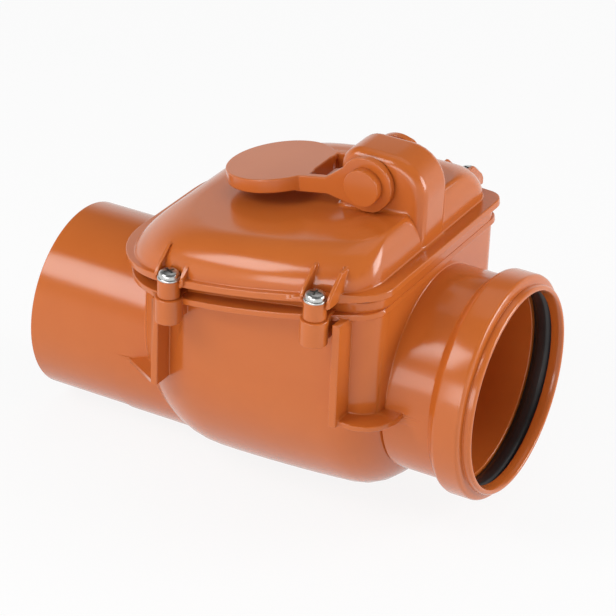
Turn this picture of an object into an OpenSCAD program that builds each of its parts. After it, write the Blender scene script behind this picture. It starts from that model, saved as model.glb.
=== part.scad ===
// Backwater valve for a 110 mm drain, with a hinged flap and a hand lever that locks it.
// X runs along the pipes from the outlet spigot to the inlet socket, Y across and Z up.
// The origin is the centre of the spigot's open end.

/* [Pipe ends] */
// Outside diameter of the pipe system
pipe_d = 110; // [108:0.5:112]
// Wall of the spigot and the socket
pipe_wall = 3.2; // [2.8:0.1:3.6]
// Length from the spigot's end to the socket's mouth
overall_len = 283; // [279:1:288]
// Height of the inlet axis above the outlet axis
axis_rise = 22; // [20:0.5:24]
// Gap between a pipe and the socket, on the radius
socket_gap = 0.4; // [0.25:0.05:0.45]
// Outside radius of the bead that holds the lip seal
bead_r = 64.2; // [63:0.2:66]

/* [Chamber] */
// Distance from the socket's mouth back to the chamber's end wall
socket_reach = 51.5; // [50:0.5:54]
// Greatest half width of the chamber
chamber_half = 78; // [76.5:0.5:79.5]
// Wall of the chamber
chamber_wall = 4; // [3.4:0.2:4.4]
// Radius of the chamber's bowed long sides
chamber_bow = 1000; // [900:20:1200]

/* [Cover] */
// Length of the cover's flange, seen from above
cover_len = 176.6; // [174:0.2:179]
// Greatest half width of the cover's flange
cover_half = 89.6; // [88.8:0.2:90.6]
// Height of the dome above the flange
dome_h = 20.9; // [19.7:0.3:21.2]
// Wall of the dome and the tower
cover_wall = 3.2; // [2.6:0.2:3.6]
// Half width of the tower that carries the lever's shaft
tower_half = 15; // [14.5:0.1:15.5]
// Diameter of the cover screws
screw_d = 6; // [5:0.5:6.5]

/* [Lever] */
// Radius of the thumb paddle
paddle_r = 30.5; // [28:0.5:33]
// Distance from the lever's shaft to the paddle's centre
lever_reach = 64; // [62:0.5:66]
// Slope of the lever as it lies on the cover
lever_slope = 11; // [10:0.5:11.5]
// Radius of the lever's two hubs
hub_r = 15.6; // [14.4:0.2:15.8]
// Radius of the lever's shaft in its bearings
shaft_r = 5; // [4.95:0.05:5.2]

/* [Flap] */
// Thickness of the flap's plate
flap_t = 5; // [4:0.5:6]
// Thickness of the flap's rubber ring
flap_seal_t = 3; // [2.5:0.25:3.5]
// Distance from the end wall back to the flap's seat
seat_reach = 28.5; // [27.5:0.5:29.5]
// Radius of the flap's hinge pin
hinge_r = 2.5; // [2:0.1:3]

/* [Hidden] */
$fn = 96;

plastic = [0.79, 0.42, 0.22];
rubber = [0.07, 0.07, 0.07];
steel = [0.78, 0.78, 0.76];

// Pipe ends
spigot_r = pipe_d / 2;
bore_r = spigot_r - pipe_wall;
socket_r = spigot_r + socket_gap;
socket_out_r = socket_r + pipe_wall;
wall_x = overall_len - socket_reach;
socket_floor = wall_x - 5.5;
spigot_step = 0.6;
groove_depth = 6;
groove_x = overall_len - 18.5;
groove_w = 11.5;
eps = 0.05;

// Plan outlines hold left, right, half width, middle of the bow, bow radius and the corner radii
flange_gap = 3.3;
flange_right = wall_x + flange_gap;
flange_left = flange_right - cover_len;
cover_x = (flange_left + flange_right) / 2;
spigot_len = flange_left - 2;
chamber = [flange_left + 8, wall_x, chamber_half, flange_left + 66, chamber_bow, 15, 58];
rise_run = 149;
cover_tilt = atan(axis_rise / rise_run);
cover_z = 70.4 + axis_rise / 2;
flange_len = cover_len / cos(cover_tilt);
flange = [-flange_len / 2, flange_len / 2, cover_half, 0, 220, 14, 60];
flange_t = 4.1;
gasket_t = 1.6;
bead_drop = 7.3;
bead_t = 3.6;
right_steps = 6;
bow_steps = 8;
left_steps = 12;

// Cover screws, two on each long side
screw_x = [cover_x - 32.8, cover_x + 56.3];
screw_y = cover_half - 0.4;
boss_drop = 5.5;
cover_boss_h = 10.7;
cover_boss_r = 6.3;
body_boss_h = 14.7;
body_boss_r = 7.7;
screw_gap = 0.3;
collar_r = screw_d + 0.4;
collar_gap = 0.35;
rib_x = [screw_x[0] - 11.7, screw_x[1] + 9.6];
rib_foot = 12;
screw_len = 24;

// Tower and shaft
shaft_x = flange_right - 41.8;
shaft_z = cover_z + 48.6;
tower_left = shaft_x - 19;
tower_right = flange_right - 8.8;
tower_top = shaft_z + 17;
running_gap = 0.06;
arm_t = 4.6;
arm_gap = 0.4;
arm_in = tower_half + arm_gap;
arm_out = arm_in + arm_t;
square_w = 7;
square_gap = 0.05;
cap_r = 10.4;
cap_t = 5.5;
bearing_in = 8;
bearing_r = 9;
oring_w = 1.6;
oring_y = bearing_in + 2.4;
lever_swing = 95;
finger_len = 25;
finger_w = 6;
finger_half = 4;

// Flap and hinge
seat_x = wall_x - seat_reach;
seat_r = bore_r + 4.7;
hinge_x = seat_x + 1;
hinge_z = axis_rise + seat_r + 7.5;
knuckle_r = 6.5;
knuckle_half = 9;
lug_in = knuckle_half + 0.6;
lug_t = 4;
pin_half = lug_in + lug_t + 2.5;
clip_t = 0.8;
flap_r = seat_r + 0.5;
post_gap = 0.6;
tail_top = 24;

// Height of a plane parallel to the cover's flange, above the flange's underside, at a place along X
function cover_at(x, above = 0) = cover_z + (x - cover_x) * tan(cover_tilt) + above / cos(cover_tilt);

function inset(p, d) = [p[0] + d, p[1] - d, p[2] - d, p[3], p[4] - d, p[5] - d, p[6] - d];
function bow_y(p) = p[2] - p[4];
function corner_y(p, x, r) = bow_y(p) + sqrt(pow(p[4] - r, 2) - pow(x - p[3], 2));
function right_corner(p) = [p[1] - p[5], corner_y(p, p[1] - p[5], p[5])];
function left_corner(p) = [p[0] + p[6], corner_y(p, p[0] + p[6], p[6])];
function bow_angle(p, c) = atan2(c[1] - bow_y(p), c[0] - p[3]);
function arc(c, r, from, to, n, first = 0) = [for (i = [first:n]) let (a = from + (to - from) * i / n)
    c + r * [cos(a), sin(a)]];
function half_outline(p) = let (cr = right_corner(p), cl = left_corner(p))
    concat(arc(cr, p[5], 0, bow_angle(p, cr), right_steps),
        arc([p[3], bow_y(p)], p[4], bow_angle(p, cr), bow_angle(p, cl), bow_steps, 1),
        arc(cl, p[6], bow_angle(p, cl), 180, left_steps, 1));
function outline(p) = let (h = half_outline(p))
    concat(h, [for (i = [len(h) - 1:-1:0]) [h[i][0], -h[i][1]]]);

module plan(p) {
    polygon(outline(p));
}

// Places what is drawn flat on the cover's sloping plane
module on_cover() {
    translate([cover_x, 0, cover_z]) rotate([0, -cover_tilt, 0]) children();
}

// Slab parallel to the cover's flange
module cover_slab(from, to) {
    on_cover() translate([-250, -200, from]) cube([500, 400, to - from]);
}

module along_x(x, len, r) {
    translate([x, 0, 0]) rotate([0, 90, 0]) cylinder(h = len, r = r);
}

module along_y(y, len, r) {
    translate([0, y, 0]) rotate([-90, 0, 0]) cylinder(h = len, r = r);
}

// Side profile in X and Z, drawn through a stretch of Y
module across(y, len) {
    translate([0, y + len, 0]) rotate([90, 0, 0]) linear_extrude(len) children();
}

// Turned profile in radius and X, about the inlet axis
module about_inlet() {
    translate([0, 0, axis_rise]) rotate([0, 90, 0]) rotate_extrude() children();
}

// Trough below the inlet axis, rounder at the inlet end, and straight walls above it
module chamber_solid(p) {
    belly = [p[0], p[1], p[2], p[3], p[4], p[5] + 14, p[6]];
    about_inlet() intersection() {
        mirror([1, -1]) plan(belly);
        square([p[2] + 1, p[1] + 1]);
    }
    translate([0, 0, axis_rise]) linear_extrude(90) plan(p);
}

module socket_shell() {
    mouth = overall_len;
    lip_r = socket_out_r + 1;
    about_inlet() polygon([[0, wall_x - 2], [socket_out_r, wall_x - 2], [socket_out_r, mouth - 25.5],
        [socket_out_r + 0.8, mouth - 24.5], [bead_r - 0.8, mouth - 21], [bead_r, mouth - 19],
        [bead_r, mouth - 7.2], [bead_r - 0.4, mouth - 6], [bead_r - 1.4, mouth - 5.2],
        [lip_r + 1, mouth - 4.8], [lip_r - 0.4, mouth - 4.4], [lip_r, mouth - 3.6],
        [lip_r - 0.2, mouth - 1], [lip_r - 1.2, mouth], [0, mouth]]);
}

module socket_hollow() {
    lead = 1.4;
    translate([0, 0, axis_rise]) {
        along_x(socket_floor, socket_reach + 10, socket_r);
        along_x(groove_x, groove_w, socket_r + groove_depth);
        translate([overall_len - 2 * lead, 0, 0]) rotate([0, 90, 0])
            cylinder(h = 2 * lead + eps, r1 = socket_r, r2 = socket_r + lead);
    }
}

// Bosses under the cover screws, with the webs that tie them to the wall
module body_boss(x, s) {
    top = cover_at(x) - boss_drop;
    translate([x, s * screw_y, top - body_boss_h]) cylinder(h = body_boss_h, r = body_boss_r);
    translate([x - 5, s > 0 ? chamber_half - 14 : -screw_y, top - body_boss_h])
        cube([10, screw_y - chamber_half + 14, body_boss_h]);
}

// Upright plate under the flange, with a straight outer edge
module body_rib(x, thick, foot_z, s) {
    top = cover_at(x) - bead_drop - bead_t / 2;
    outer = chamber_half + 9.6;
    inner = chamber_half - 16;
    translate([x, s > 0 ? inner : -outer, foot_z]) cube([thick, outer - inner, top - foot_z]);
}

// Flat ledge that carries the front corner on to the socket
module socket_ledge(x, s) {
    ledge_t = 3.2;
    len = wall_x + 11 - x;
    outer = chamber_half + 6;
    translate([0, 0, axis_rise - ledge_t / 2]) linear_extrude(ledge_t)
        polygon([[x, s * (chamber_half - 16)], [x, s * outer], [x + 0.45 * len, s * (outer + 0.6)],
            [x + 0.7 * len, s * (outer - 2.4)], [x + 0.88 * len, s * (outer - 8)],
            [x + len, s * (outer - 18)], [x + len, s * (socket_r + 1)]]);
}

// Sloping gusset from the spigot's side to the foot of the rib
module spigot_gusset(x, foot_z, s) {
    gusset_t = 3;
    from = chamber[0] - 1;
    slope = atan(foot_z / (x - from));
    end = (x - from) / cos(slope) + 1;
    translate([from, 0, 0]) rotate([0, -slope, 0]) translate([0, 0, -gusset_t / 2])
        linear_extrude(gusset_t) polygon([[0, s * (spigot_r - 2)], [end, s * (chamber_half + 9.6)],
            [end, s * (chamber_half - 16)], [0, s * (spigot_r - 8)]]);
}

module hinge_lug(s) {
    y = s > 0 ? lug_in : -lug_in - lug_t;
    across(y, lug_t) {
        translate([hinge_x, hinge_z]) circle(knuckle_r);
        polygon([[hinge_x, hinge_z], [seat_x + 0.4, hinge_z - knuckle_r - 0.6], [seat_x + 0.4, hinge_z - 18],
            [wall_x - 1, hinge_z - 18], [wall_x - 1, hinge_z - 6], [hinge_x + 2, hinge_z + knuckle_r - 0.4]]);
    }
}

module body_outside() {
    chamber_solid(chamber);
    along_x(0, spigot_len, spigot_r);
    along_x(spigot_len, chamber[0] + 70 - spigot_len, spigot_r + spigot_step);
    socket_shell();
    bead = [flange[0] + 2, flange[1] - 4.2, flange[2] - 1, flange[3], flange[4], flange[5], flange[6]];
    on_cover() translate([0, 0, -bead_drop - bead_t]) linear_extrude(bead_t) plan(bead);
    for (s = [-1, 1]) {
        for (x = screw_x) body_boss(x, s);
        body_rib(rib_x[0], 4, rib_foot, s);
        body_rib(rib_x[1], 4.6, axis_rise - 1.6, s);
        socket_ledge(rib_x[1], s);
        spigot_gusset(rib_x[0], rib_foot + 1, s);
    }
}

module valve_body() {
    color(plastic) difference() {
        union() {
            difference() {
                body_outside();
                chamber_solid(inset(chamber, chamber_wall));
                cover_slab(-gasket_t, 80);
            }
            translate([0, 0, axis_rise]) along_x(seat_x, seat_reach - 1, seat_r);
            for (s = [-1, 1]) hinge_lug(s);
        }
        along_x(-1, chamber[0] + 71, bore_r);
        translate([0, 0, axis_rise]) along_x(seat_x - 1, seat_reach, bore_r);
        socket_hollow();
        for (s = [-1, 1], x = screw_x)
            translate([x, s * screw_y, cover_at(x) - boss_drop - body_boss_h + 1])
                cylinder(h = body_boss_h, r = screw_d / 2 + eps);
        translate([hinge_x, 0, hinge_z]) along_y(-30, 60, hinge_r);
    }
}

// Ring with a folded lip, pressed flat as a pipe leaves it
module socket_lip_seal() {
    base = socket_r + groove_depth - eps;
    lip = socket_r + 0.1;
    x = groove_x + eps;
    w = groove_w - 2 * eps;
    color(rubber) about_inlet() polygon([[base, x], [base, x + w], [lip + 2.2, x + w], [lip + 1.8, x + w - 1],
        [lip + 0.5, x + w - 2.2], [lip, x + w - 3.6], [lip, x + 5], [lip + 0.5, x + 3], [lip + 2, x + 1.6],
        [lip + 2.4, x]]);
}

// Rounded shell of the dome, thinned from the outside by a wall
module dome(wall) {
    steps = 7;
    hull() for (i = [0:steps]) {
        a = 90 * i / steps;
        side = wall + 3 + 24 * (1 - cos(a));
        left = wall + 7 + 32 * a / 90;
        right = wall + 8.8 + 6 * (1 - cos(a));
        level = i == 0 ? -eps * sign(wall) : flange_t + (dome_h - wall) * sin(a);
        translate([0, 0, level]) linear_extrude(0.02)
            plan([flange[0] + left, flange[1] - right, flange[2] - side, 0, flange[4] - side, 20, 48]);
    }
}

module tower_plan(d) {
    r = 8 - d;
    h = tower_half - d;
    translate([tower_left + d, -h]) {
        w = tower_right - tower_left - 2 * d;
        translate([r, 0]) square([w - 2 * r, 2 * h]);
        translate([0, r]) square([w, 2 * h - 2 * r]);
        for (x = [r, w - r], y = [r, 2 * h - r]) translate([x, y]) circle(r);
    }
}

// Side profile of the tower, shrunk all round
function tower_side(d, foot) = let (low = 12 - d, high = 22 - d)
    concat([[tower_left + d, foot], [tower_right - d, foot]],
        arc([tower_right - 22, tower_top - 22], high, 0, 90, 8),
        arc([tower_left + 12, tower_top - 12], low, 90, 180, 6));

// Tower with one soft edge that runs round both its sides
module tower_shell(foot) {
    edge = 6;
    steps = 5;
    hull() for (i = [0:steps]) {
        a = 90 * i / steps;
        half = tower_half - edge + edge * sin(a);
        across(-half, 2 * half) polygon(tower_side(edge * (1 - cos(a)), foot));
    }
}

// Hollow of the tower, a wall inside its outside
module tower_hollow(d, foot) {
    small = 12 - d;
    large = 22 - d;
    left = tower_left + d;
    right = tower_right - d;
    top = tower_top - d;
    intersection() {
        translate([0, 0, foot]) linear_extrude(top - foot + 1) tower_plan(d);
        across(-tower_half - 1, 2 * tower_half + 2) {
            translate([left, foot]) square([right - left, top - large - foot]);
            translate([left, foot]) square([small + 1, top - small - foot]);
            translate([left + small, foot]) square([right - left - small - large, top - foot]);
            translate([left + small, top - small]) circle(small);
            translate([right - large, top - large]) circle(large);
        }
        // Rounded shoulders along the two sides
        translate([left - 1, 0, 0]) rotate([90, 0, 90]) linear_extrude(right - left + 2) {
            side = 5 - d;
            half = tower_half - d;
            translate([-half, foot - 1]) square([2 * half, top - side - foot + 1]);
            translate([side - half, foot - 1]) square([2 * half - 2 * side, top - foot + 1]);
            for (y = [side - half, half - side]) translate([y, top - side]) circle(side);
        }
    }
}

// Upright wall that hangs from the dome on to the gasket
module seal_wall() {
    linear_extrude(200) difference() {
        plan(inset(chamber, 0.3));
        plan(inset(chamber, chamber_wall - 0.3));
    }
}

module cover_boss(x, s) {
    rise = cover_at(x);
    translate([x, s * screw_y, rise - boss_drop]) cylinder(h = cover_boss_h, r = cover_boss_r);
    near = chamber_half + 0.6;
    half = cover_boss_r + 1.2;
    translate([x - half, s > 0 ? near : -screw_y, rise + 1])
        cube([2 * half, screw_y - near, cover_boss_h - boss_drop - 1]);
    rib_t = 2.2;
    low = 2.4;
    for (side = [-1, 1])
        translate([x + side * (cover_boss_r + 1.7) - rib_t / 2, 0, rise]) rotate([90, 0, 90])
            linear_extrude(rib_t) polygon([[s * 62, low + 4], [s * 62, 17.5], [s * (screw_y - 12), 18],
                [s * (screw_y - 1), 9], [s * (screw_y + 1), 6], [s * (screw_y + 1), low], [s * near, low]]);
}

// Bearings that stand inward from the tower's two sides
module bearings() {
    translate([shaft_x, 0, shaft_z]) {
        along_y(bearing_in, tower_half - bearing_in - 1, bearing_r);
        along_y(1 - tower_half, tower_half - bearing_in - 1, bearing_r);
    }
}

module cover() {
    color(plastic) difference() {
        union() {
            difference() {
                union() {
                    on_cover() linear_extrude(flange_t) plan(flange);
                    on_cover() dome(0);
                    tower_shell(cover_at(tower_right));
                }
                difference() {
                    on_cover() dome(cover_wall);
                    seal_wall();
                }
            }
            for (s = [-1, 1], x = screw_x) cover_boss(x, s);
        }
        difference() {
            tower_hollow(cover_wall, cover_z);
            bearings();
        }
        translate([shaft_x, 0, shaft_z]) along_y(-30, 60, shaft_r + running_gap);
        for (s = [-1, 1], x = screw_x) translate([x, s * screw_y, cover_at(x) - boss_drop]) {
            translate([0, 0, -20]) cylinder(h = 60, r = screw_d / 2 + screw_gap);
            translate([0, 0, cover_boss_h]) cylinder(h = 9, r = collar_r + collar_gap);
        }
    }
}

module cover_gasket() {
    color(rubber) intersection() {
        cover_slab(-gasket_t, 0);
        linear_extrude(200) difference() {
            plan(inset(chamber, 0.3));
            plan(inset(chamber, chamber_wall - 0.3));
        }
    }
}

// Pan head with a flange and a cross recess
module cover_screw(x, s) {
    head_h = 4.6;
    z = cover_at(x) - boss_drop + cover_boss_h;
    color(steel) translate([x, s * screw_y, z]) difference() {
        union() {
            translate([0, 0, -screw_len]) cylinder(h = screw_len + 1, r = screw_d / 2);
            cylinder(h = 1.2, r = collar_r);
            cylinder(h = head_h - 1.4, r = screw_d - 0.3);
            translate([0, 0, head_h - 1.4]) cylinder(h = 1.4, r1 = screw_d - 0.3, r2 = screw_d - 2);
        }
        for (a = [0, 90]) rotate(a) translate([-3, -0.6, head_h - 2]) cube([6, 1.2, 3]);
    }
}

// Places a piece of the lever at the shaft, lying along the cover
module at_shaft() {
    translate([shaft_x, 0, shaft_z]) rotate([0, -lever_slope, 0]) children();
}

// Paddle turned down at its rim, on two arms that widen into round hubs
module lever() {
    top = 2.8;
    rim_h = 7.9;
    skin = 3;
    rim_t = 3.4;
    arm_low = -6.7;
    arm_h = top - arm_low;
    slot_end = -lever_reach + 27.3;
    slot_r = 7;
    color(plastic) at_shaft() difference() {
        union() {
            translate([-lever_reach, 0, top - rim_h]) difference() {
                cylinder(h = rim_h, r = paddle_r);
                translate([0, 0, -1]) cylinder(h = rim_h - skin + 1, r = paddle_r - rim_t);
            }
            translate([-lever_reach + 8, -arm_out, top - skin]) cube([lever_reach - 44, 2 * arm_out, skin]);
            for (y = [-arm_out, arm_in]) {
                translate([-lever_reach + 20, y, arm_low]) cube([lever_reach - 20, arm_t, arm_h]);
                along_y(y, arm_t, hub_r);
                across(y, arm_t) polygon([[-hub_r - 9, top], [-hub_r - 9, arm_low],
                    [-hub_r * 0.62, -hub_r * 0.785], [0, 0], [-hub_r * 0.8, hub_r * 0.6]]);
            }
        }
        translate([slot_end, -arm_in, -30]) {
            translate([slot_r, 0, 0]) cube([90, 2 * arm_in, 60]);
            translate([0, slot_r, 0]) cube([90, 2 * arm_in - 2 * slot_r, 60]);
            for (y = [slot_r, 2 * arm_in - slot_r]) translate([slot_r, y, 0]) cylinder(h = 60, r = slot_r);
        }
        translate([-square_w / 2 - square_gap, -40, -square_w / 2 - square_gap])
            cube([square_w + 2 * square_gap, 80, square_w + 2 * square_gap]);
    }
}

// Shaft with a round cap on the front, square where it drives and round where it turns
module lever_shaft() {
    color(plastic) at_shaft() difference() {
        union() {
            along_y(-arm_out - cap_t, cap_t, cap_r);
            translate([-square_w / 2, -arm_out - 1, -square_w / 2])
                cube([square_w, 2 * arm_out + 4, square_w]);
            for (y = [-arm_in + 0.1, bearing_in - 1]) along_y(y, arm_in - bearing_in + 0.9, shaft_r);
        }
        for (s = [-1, 1]) oring_groove(s);
    }
}

module oring_groove(s) {
    translate([0, s * oring_y, 0]) difference() {
        along_y(-oring_w / 2 - eps, oring_w + 2 * eps, shaft_r + 1);
        along_y(-oring_w, 2 * oring_w, shaft_r - oring_w + eps);
    }
}

module shaft_oring(s) {
    color(rubber) at_shaft() translate([0, s * oring_y, 0]) rotate([90, 0, 0]) rotate_extrude()
        translate([shaft_r - oring_w / 2 + eps, 0]) circle(oring_w / 2 - eps / 2);
}

module shaft_end_cap() {
    hole = square_w + 2 * square_gap;
    color(plastic) at_shaft() difference() {
        along_y(arm_out + eps, cap_t, cap_r);
        translate([-hole / 2, arm_out - 1, -hole / 2]) cube([hole, 4.2, hole]);
    }
}

// Finger that turns down in front of the flap's tail
module locking_finger() {
    hub = 8;
    hole = square_w + 2 * square_gap;
    rest = lever_swing - 90;
    color(plastic) translate([shaft_x, 0, shaft_z]) difference() {
        union() {
            along_y(-finger_half - 1, 2 * finger_half + 2, hub);
            rotate([0, -rest, 0]) translate([0, -finger_half, -finger_w / 2])
                cube([finger_len, 2 * finger_half, finger_w]);
        }
        rotate([0, -lever_slope, 0]) translate([-hole / 2, -20, -hole / 2]) cube([hole, 40, hole]);
    }
}

module flap() {
    plate_x = seat_x - flap_seal_t - flap_t;
    post_right = shaft_x - finger_w / 2 - post_gap;
    post_w = 4.5;
    color(plastic) difference() {
        union() {
            translate([0, 0, axis_rise]) {
                along_x(plate_x, flap_t, flap_r);
                translate([plate_x - 3, 0, 0]) rotate([0, 90, 0])
                    cylinder(h = 4, r1 = flap_r - 14, r2 = flap_r - 10);
            }
            across(-knuckle_half, 2 * knuckle_half) {
                translate([hinge_x, hinge_z]) circle(knuckle_r);
                polygon([[plate_x, axis_rise + flap_r - 16], [plate_x + flap_t, axis_rise + flap_r - 16],
                    [plate_x + flap_t, hinge_z - knuckle_r - 1], [hinge_x - 2, hinge_z - 2],
                    [hinge_x - 2, hinge_z + 2], [plate_x, hinge_z - 3]]);
            }
            across(-finger_half, 2 * finger_half) {
                translate([post_right - post_w, hinge_z + 0.5]) square([post_w, tail_top - 0.5]);
                translate([post_right - post_w, hinge_z + 0.5]) square([hinge_x - post_right + post_w, 5.5]);
            }
        }
        translate([hinge_x, 0, hinge_z]) along_y(-30, 60, hinge_r + running_gap);
        translate([0, 0, axis_rise]) along_x(seat_x - flap_seal_t - 1.2, 8, flap_r - 14);
        flap_seal_groove();
    }
}

module flap_seal_groove() {
    translate([0, 0, axis_rise]) difference() {
        along_x(seat_x - flap_seal_t - 1.2, 5, flap_r - 2);
        along_x(seat_x - flap_seal_t - 2, 8, flap_r - 9);
    }
}

module flap_seal() {
    color(rubber) translate([0, 0, axis_rise]) difference() {
        along_x(seat_x - flap_seal_t - 1.2, flap_seal_t + 1.1, flap_r - 2 - eps);
        along_x(seat_x - flap_seal_t - 3, 10, flap_r - 9 + eps);
    }
}

module flap_hinge_pin() {
    color(steel) translate([hinge_x, 0, hinge_z]) difference() {
        along_y(-pin_half, 2 * pin_half, hinge_r);
        for (s = [-1, 1]) translate([0, s * (pin_half - 1.4), 0]) difference() {
            along_y(-clip_t / 2 - eps, clip_t + 2 * eps, hinge_r + 1);
            along_y(-clip_t, 2 * clip_t, hinge_r - 0.5);
        }
    }
}

module pin_clip(s) {
    color(steel) translate([hinge_x, s * (pin_half - 1.4), hinge_z]) difference() {
        along_y(-clip_t / 2, clip_t, hinge_r + 2);
        along_y(-clip_t, 2 * clip_t, hinge_r - 0.5 + eps);
        translate([-1.2, -clip_t, 0]) cube([2.4, 2 * clip_t, 10]);
    }
}

valve_body();
socket_lip_seal();
cover();
cover_gasket();
cover_screw(screw_x[0], -1);  // cover_screw_1
cover_screw(screw_x[1], -1);  // cover_screw_2
cover_screw(screw_x[0], 1);  // cover_screw_3
cover_screw(screw_x[1], 1);  // cover_screw_4
lever();
lever_shaft();
shaft_end_cap();
shaft_oring(-1);  // shaft_oring_front
shaft_oring(1);  // shaft_oring_rear
locking_finger();
flap();
flap_seal();
flap_hinge_pin();
pin_clip(-1);  // pin_clip_front
pin_clip(1);  // pin_clip_rear
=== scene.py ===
"""Backwater valve with a lever lock: moulded plastic, rubber seals and zinc screws in a plain studio."""

import logging
import math
from dataclasses import dataclass
from enum import Enum
from typing import Any

import bmesh
import bpy
from mathutils import Matrix, Vector
from mathutils.bvhtree import BVHTree
from mathutils.kdtree import KDTree


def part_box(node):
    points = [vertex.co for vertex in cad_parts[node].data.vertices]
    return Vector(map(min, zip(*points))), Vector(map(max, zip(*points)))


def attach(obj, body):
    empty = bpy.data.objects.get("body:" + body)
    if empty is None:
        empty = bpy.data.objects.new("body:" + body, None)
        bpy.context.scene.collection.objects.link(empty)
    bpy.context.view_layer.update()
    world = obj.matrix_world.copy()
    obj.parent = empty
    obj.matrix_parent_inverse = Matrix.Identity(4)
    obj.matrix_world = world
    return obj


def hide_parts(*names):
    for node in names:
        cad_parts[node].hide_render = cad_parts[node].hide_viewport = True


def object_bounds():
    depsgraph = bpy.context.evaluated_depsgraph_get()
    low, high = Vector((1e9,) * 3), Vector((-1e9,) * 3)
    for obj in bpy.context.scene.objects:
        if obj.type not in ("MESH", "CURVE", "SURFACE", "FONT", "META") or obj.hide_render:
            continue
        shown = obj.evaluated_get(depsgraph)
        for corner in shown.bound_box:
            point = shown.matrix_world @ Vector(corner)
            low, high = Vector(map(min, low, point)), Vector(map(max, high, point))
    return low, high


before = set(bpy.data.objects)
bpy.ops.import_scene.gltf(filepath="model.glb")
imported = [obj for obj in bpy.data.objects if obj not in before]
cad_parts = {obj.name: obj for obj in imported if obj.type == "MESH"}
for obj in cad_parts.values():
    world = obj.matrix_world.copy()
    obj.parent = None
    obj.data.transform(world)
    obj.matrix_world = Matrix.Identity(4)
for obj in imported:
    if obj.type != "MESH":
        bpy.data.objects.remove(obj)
CAD_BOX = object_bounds()
MM = 0.001

# Edge radii: which edges get one, how much room it needs and when it counts as torn
EDGE_DEG = 32
FLAT_DEG = 0.6
WELD = 0.06 * MM
SLIVER_AREA = 0.002 * MM * MM
TURNED = -0.2
FOLD_DEG = 150
ROOM_SHARE = 0.42
STAND_OFF = 0.45
BEVEL_SEGMENTS = 3
BEVEL_PASSES = 7
WEIGHT_LAYER = "bevel_weight_edge"

log = logging.getLogger("backwater_valve")


def linear(hex_colour: str) -> tuple[float, float, float, float]:
    """Turns an sRGB hex colour to linear values.

    Args:
        hex_colour: Six hex digits.

    Returns:
        Red, green, blue and an alpha of 1.
    """
    parts = [int(hex_colour[i:i + 2], 16) / 255 for i in (0, 2, 4)]
    red, green, blue = (c / 12.92 if c <= 0.04045 else ((c + 0.055) / 1.055) ** 2.4 for c in parts)
    return red, green, blue, 1.0


def add_node(tree: bpy.types.NodeTree, kind: str, values: dict[Any, Any] | None = None,
             links: dict[Any, bpy.types.NodeSocket] | None = None, **settings: Any) -> bpy.types.Node:
    """Adds a node with its settings, socket values and incoming links.

    Args:
        tree: The node tree to add to.
        kind: The node's type name.
        values: Input sockets, by name or place, with their values.
        links: Input sockets, by name or place, with the sockets that feed them.
        settings: The node's own properties.

    Returns:
        The new node.
    """
    node = tree.nodes.new(kind)
    for name, value in settings.items():
        setattr(node, name, value)
    for key, value in (values or {}).items():
        node.inputs[key].default_value = value
    for key, socket in (links or {}).items():
        tree.links.new(socket, node.inputs[key])
    return node


class Body(Enum):
    """Rigid bodies of the valve."""

    HOUSING = "housing"
    LEVER = "lock_lever"
    FLAP = "backflow_flap"


@dataclass(frozen=True)
class MouldedPvc:
    """Injection-moulded PVC: satin, coloured through, with faint flow marks and a fine tool grain."""

    name: str = "moulded_pvc"
    colour: str = "C96B2C"
    dark: str = "BF6125"
    roughness: float = 0.17
    ior: float = 1.53
    flow_mm: float = 38.0
    grain_mm: float = 0.9
    grain_deep_mm: float = 0.1
    grain_share: float = 0.03

    def build(self) -> bpy.types.Material:
        """Builds the material.

        Returns:
            The plastic's material.
        """
        material = bpy.data.materials.new(self.name)
        material.use_nodes = True
        tree = material.node_tree
        shader = tree.nodes["Principled BSDF"]
        shader.inputs["IOR"].default_value = self.ior
        place = add_node(tree, "ShaderNodeTexCoord").outputs["Object"]
        flow = add_node(tree, "ShaderNodeTexNoise", {"Scale": 1 / (self.flow_mm * MM), "Detail": 3.0},
                        {"Vector": place})
        tint = add_node(tree, "ShaderNodeMix", {6: linear(self.colour), 7: linear(self.dark)},
                        {0: flow.outputs["Fac"]}, data_type="RGBA")
        tree.links.new(tint.outputs[2], shader.inputs["Base Color"])
        gloss = add_node(tree, "ShaderNodeMapRange", {3: self.roughness - 0.03, 4: self.roughness + 0.04},
                         {0: flow.outputs["Fac"]})
        tree.links.new(gloss.outputs[0], shader.inputs["Roughness"])
        grain = add_node(tree, "ShaderNodeTexNoise", {"Scale": 1 / (self.grain_mm * MM), "Detail": 2.0},
                         {"Vector": place})
        relief = {"Strength": self.grain_share, "Distance": self.grain_deep_mm * MM}
        bump = add_node(tree, "ShaderNodeBump", relief, {"Height": grain.outputs["Fac"]})
        tree.links.new(bump.outputs[0], shader.inputs["Normal"])
        return material


@dataclass(frozen=True)
class SealRubber:
    """Black EPDM rubber: smooth from its mould, with a dull sheen."""

    name: str = "epdm_rubber"
    colour: str = "1B1B1C"
    bloom: str = "2B2B2C"
    roughness: float = 0.42
    bloom_mm: float = 6.0

    def build(self) -> bpy.types.Material:
        """Builds the material.

        Returns:
            The rubber's material.
        """
        material = bpy.data.materials.new(self.name)
        material.use_nodes = True
        tree = material.node_tree
        shader = tree.nodes["Principled BSDF"]
        shader.inputs["Roughness"].default_value = self.roughness
        place = add_node(tree, "ShaderNodeTexCoord").outputs["Object"]
        bloom = add_node(tree, "ShaderNodeTexNoise", {"Scale": 1 / (self.bloom_mm * MM), "Detail": 4.0},
                         {"Vector": place})
        tint = add_node(tree, "ShaderNodeMix", {6: linear(self.colour), 7: linear(self.bloom)},
                        {0: bloom.outputs["Fac"]}, data_type="RGBA")
        tree.links.new(tint.outputs[2], shader.inputs["Base Color"])
        return material


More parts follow.
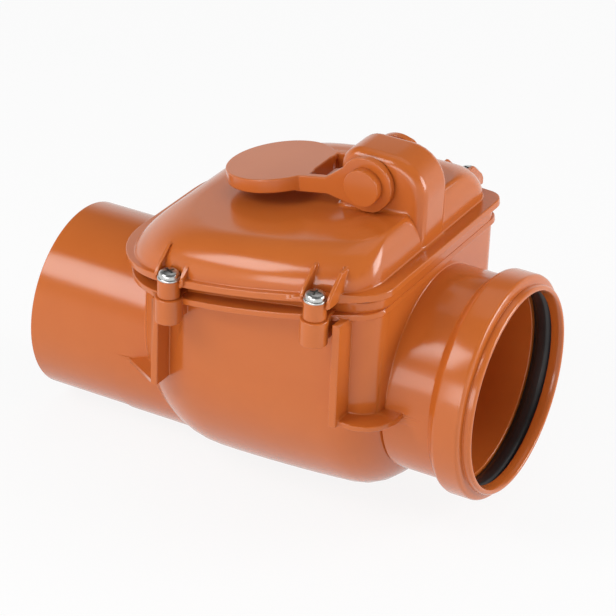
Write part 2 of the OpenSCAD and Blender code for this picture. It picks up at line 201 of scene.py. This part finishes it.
@dataclass(frozen=True)
class ZincSteel:
    """Steel with bright zinc plating: pale grey, slightly cloudy from the bath."""

    name: str = "zinc_plated_steel"
    colour: str = "D6D6D2"
    cloud: str = "B9BABA"
    roughness: float = 0.27
    cloud_mm: float = 2.5

    def build(self) -> bpy.types.Material:
        """Builds the material.

        Returns:
            The plated steel's material.
        """
        material = bpy.data.materials.new(self.name)
        material.use_nodes = True
        tree = material.node_tree
        shader = tree.nodes["Principled BSDF"]
        shader.inputs["Metallic"].default_value = 1.0
        place = add_node(tree, "ShaderNodeTexCoord").outputs["Object"]
        cloud = add_node(tree, "ShaderNodeTexNoise", {"Scale": 1 / (self.cloud_mm * MM), "Detail": 3.0},
                         {"Vector": place})
        tint = add_node(tree, "ShaderNodeMix", {6: linear(self.colour), 7: linear(self.cloud)},
                        {0: cloud.outputs["Fac"]}, data_type="RGBA")
        tree.links.new(tint.outputs[2], shader.inputs["Base Color"])
        gloss = add_node(tree, "ShaderNodeMapRange", {3: self.roughness - 0.06, 4: self.roughness + 0.08},
                         {0: cloud.outputs["Fac"]})
        tree.links.new(gloss.outputs[0], shader.inputs["Roughness"])
        return material


@dataclass(frozen=True)
class Finishes:
    """The materials of the whole valve."""

    plastic: bpy.types.Material
    rubber: bpy.types.Material
    zinc: bpy.types.Material


def dress(node: str, material: bpy.types.Material) -> bpy.types.Object:
    """Gives a node its finish.

    Args:
        node: The node's name.
        material: Its material.

    Returns:
        The node's object.
    """
    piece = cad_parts[node]
    piece.data.materials.clear()
    piece.data.materials.append(material)
    log.info("%s dressed in %s", node, material.name)
    return piece


def evaluated(piece: bpy.types.Object) -> bpy.types.Mesh:
    """Turns a piece and its modifiers to a plain mesh.

    Args:
        piece: The piece, which loses its modifiers.

    Returns:
        The piece's new mesh.
    """
    shaped = bpy.data.meshes.new_from_object(piece.evaluated_get(bpy.context.evaluated_depsgraph_get()))
    piece.modifiers.clear()
    piece.data = shaped
    shaped.name = piece.name
    return shaped


@dataclass(frozen=True)
class Fillet:
    """A radius of its own on the inside edges that lie in a box."""

    low: tuple[float, float, float]
    high: tuple[float, float, float]
    radius_mm: float

    def holds(self, edge: bmesh.types.BMEdge) -> bool:
        """Tells whether an edge is an inside edge in the box.

        Args:
            edge: An edge of the solid.

        Returns:
            True for an edge that gets this radius.
        """
        inside = edge.calc_face_angle_signed(0.0) < -math.radians(EDGE_DEG)
        ends = (v.co for v in edge.verts)
        return inside and all(lo <= c <= hi for v in ends for lo, c, hi in zip(self.low, v, self.high))


def room(edge: bmesh.types.BMEdge) -> float:
    """Measures the narrowest face beside an edge, and the shortest smooth edge that meets its ends.

    Args:
        edge: An edge between two faces.

    Returns:
        The least width.
    """
    first, last = (v.co for v in edge.verts)
    along = (last - first).normalized()
    widths = []
    for face in edge.link_faces:
        spans = [v.co - first for v in face.verts]
        widths.append(max((span - span.dot(along) * along).length for span in spans))
        widths += [side.calc_length() for side in face.edges if side is not edge
                   and set(side.verts) & set(edge.verts) and side.calc_face_angle(0.0) < math.radians(EDGE_DEG)]
    return min(widths)


def weigh(work: bmesh.types.BMesh, radius_mm: float, fillets: tuple[Fillet, ...]) -> float:
    """Marks the edges of a solid with the radius that each gets.

    Args:
        work: The solid.
        radius_mm: Radius of the edges.
        fillets: Other radii on some inside edges.

    Returns:
        The widest radius in millimetres, for which an edge's weight is 1.
    """
    widest = max([radius_mm] + [fillet.radius_mm for fillet in fillets])
    weight = work.edges.layers.float.new(WEIGHT_LAYER)
    for edge in work.edges:
        if edge.calc_face_angle(0.0) > math.radians(EDGE_DEG):
            own = [f.radius_mm for f in fillets if f.holds(edge)]
            edge[weight] = max(own or [min(radius_mm, ROOM_SHARE * room(edge) / MM)]) / widest
    return widest


def torn(mesh: bpy.types.Mesh, solid: BVHTree, limit: float) -> list[Vector]:
    """Finds the faces that an edge radius tore off the solid, turned over or folded.

    Args:
        mesh: The mesh with its edge radii.
        solid: The solid before it had them.
        limit: How far a face may stand from the solid.

    Returns:
        Points on those faces.
    """
    points = []
    mesh.calc_loop_triangles()
    for face in mesh.loop_triangles:
        corners = [mesh.vertices[i].co.copy() for i in face.vertices]
        middle = (corners[0] + corners[1] + corners[2]) / 3
        _, normal, _, distance = solid.find_nearest(middle)
        turned = face.area > SLIVER_AREA and face.normal.dot(normal) < TURNED
        if turned or distance > limit or max(solid.find_nearest(c)[3] for c in corners) > limit:
            points += [middle] + corners
    work = bmesh.new()
    work.from_mesh(mesh)
    folds = [edge for edge in work.edges if edge.calc_face_angle(0.0) > math.radians(FOLD_DEG)]
    points += [vertex.co.copy() for edge in folds for vertex in edge.verts]
    work.free()
    return points


def places(edge: bmesh.types.BMEdge) -> tuple[Vector, Vector, Vector]:
    """Gives an edge's two ends and its middle.

    Args:
        edge: An edge of the solid.

    Returns:
        The first end, the middle and the last end.
    """
    first, last = (v.co for v in edge.verts)
    return first, (first + last) / 2, last


def cramped(work: bmesh.types.BMesh, points: list[Vector], reach: float) -> list[bmesh.types.BMEdge]:
    """Finds the rounded edges that lie near torn faces.

    Args:
        work: The solid with its marked edges.
        points: Points on the torn faces.
        reach: How near an edge has to lie.

    Returns:
        The edges that have to stay sharp.
    """
    weight = work.edges.layers.float[WEIGHT_LAYER]
    tree = KDTree(len(points))
    for index, point in enumerate(points):
        tree.insert(point, index)
    tree.balance()
    return [edge for edge in work.edges if edge[weight] > 0.0
            and min(tree.find(place)[2] for place in places(edge)) < reach]


def rounded(piece: bpy.types.Object, width: float) -> bpy.types.Mesh:
    """Rounds a piece's marked edges and keeps its flat faces flat to the eye.

    Args:
        piece: The piece with its marked edges.
        width: The radius of an edge whose weight is 1.

    Returns:
        The piece's new mesh.
    """
    bevel = piece.modifiers.new("edge_radius", "BEVEL")
    bevel.width = width
    bevel.segments = BEVEL_SEGMENTS
    bevel.limit_method = "WEIGHT"
    bevel.use_clamp_overlap = False
    bevel.miter_outer = "MITER_ARC"
    piece.modifiers.new("flat_faces", "WEIGHTED_NORMAL").keep_sharp = True
    return evaluated(piece)


def soften(node: str, name: str, body: Body, material: bpy.types.Material, radius_mm: float,
           fillets: tuple[Fillet, ...] = ()) -> bpy.types.Object:
    """Makes a moulding from a node's solid, with the small edge radii that a mould leaves.

    An edge with too little room for its radius stays sharp.

    Args:
        node: The node whose solid is copied and replaced.
        name: The new piece's name.
        body: The body that it rides on.
        material: Its finish.
        radius_mm: Radius of the edges.
        fillets: Other radii on some inside edges.

    Returns:
        The new piece.
    """
    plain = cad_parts[node].data.copy()
    work = bmesh.new()
    work.from_mesh(plain)
    bmesh.ops.remove_doubles(work, verts=work.verts, dist=WELD)
    bmesh.ops.dissolve_degenerate(work, edges=work.edges, dist=WELD)
    bmesh.ops.dissolve_limit(work, angle_limit=math.radians(FLAT_DEG), verts=work.verts, edges=work.edges)
    for face in work.faces:
        face.smooth = True
    solid = BVHTree.FromBMesh(work)
    widest = weigh(work, radius_mm, fillets)
    weight = work.edges.layers.float[WEIGHT_LAYER]
    piece = bpy.data.objects.new(name, plain)
    bpy.context.scene.collection.objects.link(piece)
    for attempt in range(BEVEL_PASSES):
        for edge in work.edges:
            edge.smooth = edge[weight] > 0.0 or edge.calc_face_angle(0.0) < math.radians(EDGE_DEG)
        piece.data = plain.copy()
        work.to_mesh(piece.data)
        shaped = rounded(piece, widest * MM)
        points = torn(shaped, solid, STAND_OFF * widest * MM)
        log.info("%s try %d: %d torn points", name, attempt, len(points))
        sharp = cramped(work, points, (1.0 + attempt) * radius_mm * MM) if points else []
        if not sharp:
            break
        for edge in sharp:
            edge[weight] = 0.0
    work.free()
    shaped.materials.clear()
    shaped.materials.append(material)
    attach(piece, body.value)
    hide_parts(node)
    log.info("%s replaces %s, %d faces", name, node, len(shaped.polygons))
    return piece


@dataclass
class CoverScrews:
    """Four pan-head screws with a collar, a cross recess and a thread, in two rows of two."""

    zinc: bpy.types.Material
    head_mm: float = 5.7
    head_high_mm: float = 4.6
    collar_mm: float = 6.35
    core_mm: float = 2.5
    thread_mm: float = 2.6
    pitch_mm: float = 1.8
    length_mm: float = 23.8
    recess_long_mm: float = 6.4
    recess_wide_mm: float = 1.3
    recess_deep_mm: float = 2.0
    ridge_mm: float = 0.42
    facets: int = 40
    sharp_deg: float = 40.0
    seed: int = 3

    def blank(self) -> bpy.types.Mesh:
        """Turns the plain screw, head up, with its seat at the origin.

        Returns:
            The screw's mesh without recess and thread.
        """
        head, top = self.head_mm, self.head_high_mm
        profile = [(0.0, -self.length_mm), (self.core_mm * 0.5, -self.length_mm),
                   (self.core_mm, -self.length_mm + 2.0), (self.core_mm, 0.0), (self.collar_mm, 0.0),
                   (self.collar_mm, 0.7), (self.collar_mm - 0.3, 1.1), (head, 1.2), (head, top - 2.1),
                   (head - 0.3, top - 1.2), (head - 1.0, top - 0.55), (head - 2.2, top - 0.12), (0.0, top)]
        work = bmesh.new()
        ring = [work.verts.new((radius * MM, 0.0, level * MM)) for radius, level in profile]
        edges = [work.edges.new(pair) for pair in zip(ring, ring[1:])]
        bmesh.ops.spin(work, geom=ring + edges, cent=(0, 0, 0), axis=(0, 0, 1), angle=math.tau,
                       steps=self.facets, use_merge=True)
        bmesh.ops.remove_doubles(work, verts=work.verts, dist=0.001 * MM)
        bmesh.ops.recalc_face_normals(work, faces=work.faces)
        mesh = bpy.data.meshes.new("cover_screws")
        work.to_mesh(mesh)
        work.free()
        return mesh

    def tree(self) -> bpy.types.NodeTree:
        """Builds the tree that cuts the recess, winds the thread and sets the rows.

        Returns:
            The node tree, with named inputs for its sizes.
        """
        tree = bpy.data.node_groups.new("cover_screw_rows", "GeometryNodeTree")
        for name, kind in (("Screw", "Geometry"), ("Outlet Row", "Vector"), ("Inlet Row", "Vector"),
                           ("Recess Size", "Vector"), ("Recess Height", "Float"), ("Thread Radius", "Float"),
                           ("Thread Pitch", "Float"), ("Thread Length", "Float"), ("Seed", "Int"),
                           ("Zinc", "Material")):
            tree.interface.new_socket(name, in_out="INPUT", socket_type=f"NodeSocket{kind}")
        tree.interface.new_socket("Screws", in_out="OUTPUT", socket_type="NodeSocketGeometry")
        given = add_node(tree, "NodeGroupInput").outputs
        bar = add_node(tree, "GeometryNodeMeshCube", links={"Size": given["Recess Size"]})
        lift = add_node(tree, "ShaderNodeCombineXYZ", links={"Z": given["Recess Height"]})
        cut = add_node(tree, "GeometryNodeMeshBoolean", links={"Mesh 1": given["Screw"]}, operation="DIFFERENCE")
        for turn in (0.0, math.pi / 2):
            placed = add_node(tree, "GeometryNodeTransform", {"Rotation": (0.0, 0.0, turn)},
                              {"Geometry": bar.outputs["Mesh"], "Translation": lift.outputs[0]})
            tree.links.new(placed.outputs[0], cut.inputs["Mesh 2"])
        turns = add_node(tree, "ShaderNodeMath", links={0: given["Thread Length"], 1: given["Thread Pitch"]},
                         operation="DIVIDE")
        helix = add_node(tree, "GeometryNodeCurveSpiral", {"Resolution": 20},
                         {"Rotations": turns.outputs[0], "Start Radius": given["Thread Radius"],
                          "End Radius": given["Thread Radius"], "Height": given["Thread Length"]})
        ridge = add_node(tree, "GeometryNodeCurvePrimitiveCircle", {"Resolution": 4, "Radius": self.ridge_mm * MM})
        wound = add_node(tree, "GeometryNodeCurveToMesh", {"Fill Caps": True},
                         {"Curve": helix.outputs[0], "Profile Curve": ridge.outputs[0]})
        sink = add_node(tree, "ShaderNodeMath", {1: -1.0}, {0: given["Thread Length"]}, operation="MULTIPLY")
        drop = add_node(tree, "ShaderNodeCombineXYZ", links={"Z": sink.outputs[0]})
        thread = add_node(tree, "GeometryNodeTransform", None,
                          {"Geometry": wound.outputs[0], "Translation": drop.outputs[0]})
        whole = add_node(tree, "GeometryNodeJoinGeometry", links={0: cut.outputs["Mesh"]})
        tree.links.new(thread.outputs[0], whole.inputs[0])
        seats = add_node(tree, "GeometryNodeJoinGeometry")
        for row in ("Outlet Row", "Inlet Row"):
            for side in (1.0, -1.0):
                place = add_node(tree, "ShaderNodeVectorMath", {1: (1.0, side, 1.0)}, {0: given[row]},
                                 operation="MULTIPLY")
                seat = add_node(tree, "GeometryNodePoints", {"Count": 1}, {"Position": place.outputs[0]})
                tree.links.new(seat.outputs[0], seats.inputs[0])
        turn = add_node(tree, "FunctionNodeRandomValue", {0: (0.0, 0.0, 0.0), 1: (0.0, 0.0, math.tau)},
                        {"Seed": given["Seed"]}, data_type="FLOAT_VECTOR")
        rows = add_node(tree, "GeometryNodeInstanceOnPoints", None,
                        {"Points": seats.outputs[0], "Instance": whole.outputs[0], "Rotation": turn.outputs[0]})
        real = add_node(tree, "GeometryNodeRealizeInstances", links={0: rows.outputs[0]})
        dressed = add_node(tree, "GeometryNodeSetMaterial", None,
                           {"Geometry": real.outputs[0], "Material": given["Zinc"]})
        add_node(tree, "NodeGroupOutput", links={0: dressed.outputs[0]})
        return tree

    def seat(self, node: str) -> Vector:
        """Finds where a screw's head sits on its boss.

        Args:
            node: The screw's node.

        Returns:
            The middle of the seat.
        """
        low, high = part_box(node)
        return Vector(((low[0] + high[0]) / 2, (low[1] + high[1]) / 2, high[2] - self.head_high_mm * MM))

    def build(self) -> None:
        """Builds the four screws as one piece of the housing."""
        piece = bpy.data.objects.new("cover_screws", self.blank())
        bpy.context.scene.collection.objects.link(piece)
        rows = piece.modifiers.new("rows", "NODES")
        rows.node_group = self.tree()
        values = {"Outlet Row": self.seat("cover_screw_1"), "Inlet Row": self.seat("cover_screw_2"),
                  "Recess Size": Vector((self.recess_long_mm, self.recess_wide_mm, 2 * self.recess_deep_mm)) * MM,
                  "Recess Height": self.head_high_mm * MM, "Thread Radius": self.thread_mm * MM,
                  "Thread Pitch": self.pitch_mm * MM, "Thread Length": (self.length_mm - 2.5) * MM,
                  "Seed": self.seed, "Zinc": self.zinc}
        for socket in rows.node_group.interface.items_tree:
            if socket.name in values:
                rows[socket.identifier] = values[socket.name]
        shaped = evaluated(piece)
        shaped.shade_smooth()
        shaped.set_sharp_from_angle(angle=math.radians(self.sharp_deg))
        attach(piece, Body.HOUSING.value)
        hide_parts(*(f"cover_screw_{number}" for number in range(1, 5)))
        log.info("%s replaces the four screws, %d faces", piece.name, len(shaped.polygons))


@dataclass
class Housing:
    """Valve body with its seal, cover, gasket and screws, and the flap's hinge pin."""

    finishes: Finishes
    body_radius_mm: float = 0.7
    cover_radius_mm: float = 0.7
    seal_radius_mm: float = 0.8
    shelf_tip: Fillet = Fillet((0.2325, -0.1, -0.05), (0.262, 0.1, 0.05), 0.0)
    tower_foot: Fillet = Fillet((0.168, -0.02, 0.095), (0.232, 0.02, 0.124), 2.4)

    def build(self) -> None:
        """Builds the housing's pieces."""
        soften("valve_body", "body_moulding", Body.HOUSING, self.finishes.plastic, self.body_radius_mm,
               (self.shelf_tip,))
        soften("cover", "cover_moulding", Body.HOUSING, self.finishes.plastic, self.cover_radius_mm,
               (self.tower_foot,))
        soften("socket_lip_seal", "lip_seal_ring", Body.HOUSING, self.finishes.rubber, self.seal_radius_mm)
        dress("cover_gasket", self.finishes.rubber)
        CoverScrews(self.finishes.zinc).build()
        for node in ("flap_hinge_pin", "pin_clip_front", "pin_clip_rear"):
            dress(node, self.finishes.zinc)


@dataclass
class LockLever:
    """Forked lever with its shaft, cap, O-rings and locking finger."""

    finishes: Finishes
    lever_radius_mm: float = 0.8
    shaft_radius_mm: float = 0.5

    def build(self) -> None:
        """Builds the lever's pieces."""
        soften("lever", "lever_moulding", Body.LEVER, self.finishes.plastic, self.lever_radius_mm)
        for node in ("lever_shaft", "shaft_end_cap"):
            soften(node, f"{node}_moulding", Body.LEVER, self.finishes.plastic, self.shaft_radius_mm)
        for node in ("shaft_oring_front", "shaft_oring_rear"):
            dress(node, self.finishes.rubber)
        dress("locking_finger", self.finishes.plastic)


@dataclass
class BackflowFlap:
    """Hinged flap with its rubber ring."""

    finishes: Finishes

    def build(self) -> None:
        """Builds the flap's pieces."""
        dress("flap", self.finishes.plastic)
        dress("flap_seal", self.finishes.rubber)


@dataclass(frozen=True)
class SoftBox:
    """A square area lamp that looks at a point."""

    name: str
    place: tuple[float, float, float]
    aim: tuple[float, float, float]
    side: float
    height: float
    watts: float

    def build(self) -> None:
        """Adds the lamp."""
        data = bpy.data.lights.new(self.name, "AREA")
        data.shape = "RECTANGLE"
        data.size = self.side
        data.size_y = self.height
        data.energy = self.watts
        lamp = bpy.data.objects.new(self.name, data)
        bpy.context.scene.collection.objects.link(lamp)
        lamp.location = self.place
        aim = Vector(self.aim) - Vector(self.place)
        lamp.rotation_euler = aim.to_track_quat("-Z", "Y").to_euler()


@dataclass(frozen=True)
class Studio:
    """White floor and world, soft boxes and the photograph's camera."""

    camera_place: tuple[float, float, float] = (0.8046, -1.2162, 0.7815)
    azimuth_deg: float = 28.26
    elevation_deg: float = 28.43
    roll_deg: float = 2.4
    lens_mm: float = 163.34
    sensor_mm: float = 36.0
    world_light: float = 0.47
    ceiling_light: float = 0.12
    backdrop_low: float = 0.18
    backdrop_high: float = 0.52
    floor_side: float = 6.0
    floor_white: float = 0.85
    floor_rough: float = 0.9
    floor_glow: float = 0.88
    boxes: tuple[SoftBox, ...] = (
        SoftBox("window_box", (-0.42, -0.71, 0.82), (0.14, 0.0, 0.03), 0.6, 0.45, 5.0),
        SoftBox("front_box", (0.2, -1.5, 0.32), (0.14, 0.0, 0.03), 1.2, 0.5, 7.0),
        SoftBox("side_box", (1.45, 0.62, 0.5), (0.14, 0.0, 0.06), 0.8, 0.7, 13.0),
        SoftBox("top_box", (0.1, 0.5, 1.3), (0.14, 0.0, 0.0), 1.0, 1.0, 1.5),
    )

    def build(self) -> None:
        """Builds the camera, the lights, the world and the floor."""
        self.add_camera()
        for box in self.boxes:
            box.build()
        self.add_world()
        self.add_floor()
        bpy.context.scene.view_settings.view_transform = "Standard"

    def add_camera(self) -> None:
        """Adds the camera at the photograph's place."""
        azimuth, elevation, roll = (math.radians(a) for a in (self.azimuth_deg, self.elevation_deg, self.roll_deg))
        back = Vector((math.sin(azimuth) * math.cos(elevation), -math.cos(azimuth) * math.cos(elevation),
                       math.sin(elevation)))
        level = Vector((math.cos(azimuth), math.sin(azimuth), 0.0))
        upright = back.cross(level)
        right = math.cos(roll) * level + math.sin(roll) * upright
        up = math.cos(roll) * upright - math.sin(roll) * level
        data = bpy.data.cameras.new("photo_camera")
        data.lens = self.lens_mm
        data.sensor_width = self.sensor_mm
        camera = bpy.data.objects.new("photo_camera", data)
        bpy.context.scene.collection.objects.link(camera)
        turn = Matrix((right, up, back)).transposed().to_4x4()
        camera.matrix_world = Matrix.Translation(Vector(self.camera_place)) @ turn
        bpy.context.scene.camera = camera

    def add_world(self) -> None:
        """Adds a world that is white near the horizon, darker overhead and plain to the object."""
        world = bpy.data.worlds.new("white_studio")
        bpy.context.scene.world = world
        world.use_nodes = True
        tree = world.node_tree
        place = add_node(tree, "ShaderNodeTexCoord").outputs["Generated"]
        height = add_node(tree, "ShaderNodeSeparateXYZ", links={0: place}).outputs["Z"]
        levels = {1: self.backdrop_low, 2: self.backdrop_high, 3: 1.0, 4: self.ceiling_light}
        backdrop = add_node(tree, "ShaderNodeMapRange", levels, {0: height})
        strength = add_node(tree, "ShaderNodeMix", {2: self.world_light},
                            {0: self.seen(tree), 3: backdrop.outputs[0]})
        back = tree.nodes["Background"]
        back.inputs["Color"].default_value = (1.0, 1.0, 1.0, 1.0)
        tree.links.new(strength.outputs[0], back.inputs["Strength"])

    def seen(self, tree: bpy.types.NodeTree) -> bpy.types.NodeSocket:
        """Tells whether a ray comes from the camera, a mirror or glass.

        Args:
            tree: The tree that asks.

        Returns:
            A socket that is 1 for such a ray.
        """
        path = add_node(tree, "ShaderNodeLightPath").outputs
        mirror = add_node(tree, "ShaderNodeMath", None, {0: path["Is Camera Ray"], 1: path["Is Glossy Ray"]},
                          operation="MAXIMUM")
        glass = add_node(tree, "ShaderNodeMath", None, {0: mirror.outputs[0], 1: path["Is Transmission Ray"]},
                         operation="MAXIMUM")
        return glass.outputs[0]

    def add_floor(self) -> None:
        """Adds the white floor under the valve."""
        low = CAD_BOX[0].z - 0.2 * MM
        half = self.floor_side / 2
        mesh = bpy.data.meshes.new("floor")
        mesh.from_pydata([(-half, -half, low), (half, -half, low), (half, half, low), (-half, half, low)], [],
                         [(0, 1, 2, 3)])
        floor = bpy.data.objects.new("floor", mesh)
        bpy.context.scene.collection.objects.link(floor)
        material = bpy.data.materials.new("white_floor")
        material.use_nodes = True
        tree = material.node_tree
        shader = tree.nodes["Principled BSDF"]
        shader.inputs["Base Color"].default_value = (*[self.floor_white] * 3, 1.0)
        shader.inputs["Roughness"].default_value = self.floor_rough
        glow = add_node(tree, "ShaderNodeEmission", {"Strength": 1.0})
        share = add_node(tree, "ShaderNodeMath", {1: self.floor_glow}, {0: self.seen(tree)}, operation="MULTIPLY")
        mixed = add_node(tree, "ShaderNodeMixShader", None,
                         {0: share.outputs[0], 1: shader.outputs[0], 2: glow.outputs[0]})
        tree.links.new(mixed.outputs[0], tree.nodes["Material Output"].inputs["Surface"])
        mesh.materials.append(material)


def main() -> None:
    """Builds the valve and its studio."""
    logging.basicConfig(level=logging.INFO)
    finishes = Finishes(MouldedPvc().build(), SealRubber().build(), ZincSteel().build())
    Studio().build()
    Housing(finishes).build()
    LockLever(finishes).build()
    BackflowFlap(finishes).build()


if __name__ == "__main__":
    main()
